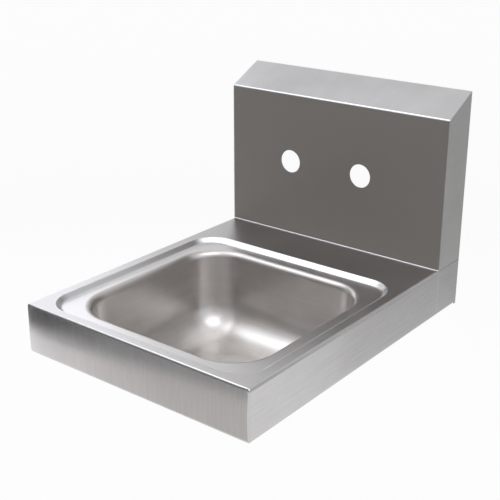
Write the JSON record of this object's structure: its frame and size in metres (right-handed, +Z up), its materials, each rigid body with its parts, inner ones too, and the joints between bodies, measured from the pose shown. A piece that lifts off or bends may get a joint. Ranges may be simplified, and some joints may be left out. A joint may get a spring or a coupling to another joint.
{
  "type": "hand basin",
  "caption": "Wall-hung stainless steel hand basin with a square drawn bowl, tall splash with tap holes, wall bracket and lift-out drain strainer.",
  "frame": {"origin": "on the wall plane, midway between the two screws of the wall bracket", "axes": "+Y into the wall, +Z up, +X along the wall to the right of someone who faces the basin"},
  "size_m": [0.3048, 0.4314, 0.3527],
  "materials": {
    "deck_steel": "linear brushed",
    "bowl_steel": "satin, drawn and scuffed by hand",
    "splash_steel": "linear brushed",
    "bracket_zinc": "zinc plated, dull",
    "screw_zinc": "bright zinc plated",
    "drain_chrome": "polished chrome on brass",
    "seal_rubber": "matt black rubber",
    "washer_fibre": "pressed red fibre",
    "nut_brass": "cast and turned brass",
    "cup_steel": "pressed, satin",
    "post_chrome": "polished chrome on brass"
  },
  "bodies": {
    "wall_fixing": {"wall_bracket": "bracket_zinc", "bracket_screws": "screw_zinc", "bracket_washers": "screw_zinc"},
    "basin": {"deck_pan": "deck_steel", "sink_bowl": "bowl_steel", "backsplash": "splash_steel", "splash_end_left": "splash_steel", "splash_end_right": "splash_steel", "rear_corner_left": "deck_steel", "rear_corner_right": "deck_steel", "drain_body": "drain_chrome", "flange_seal": "seal_rubber", "body_gasket": "seal_rubber", "friction_washer": "washer_fibre", "locknut": "nut_brass"},
    "strainer": {"strainer_cup": "cup_steel", "strainer_post": "post_chrome", "stopper_washer": "seal_rubber", "post_nut": "nut_brass"}
  },
  "joints": [
    {"name": "basin_lift", "type": "slide", "parent": "wall_fixing", "child": "basin", "axis": [0, 0, 1], "range_m": [0, 0.03]},
    {"name": "strainer_lift", "type": "slide", "parent": "basin", "child": "strainer", "axis": [0, 0, 1], "range_m": [0, 0.05]}
  ]
}
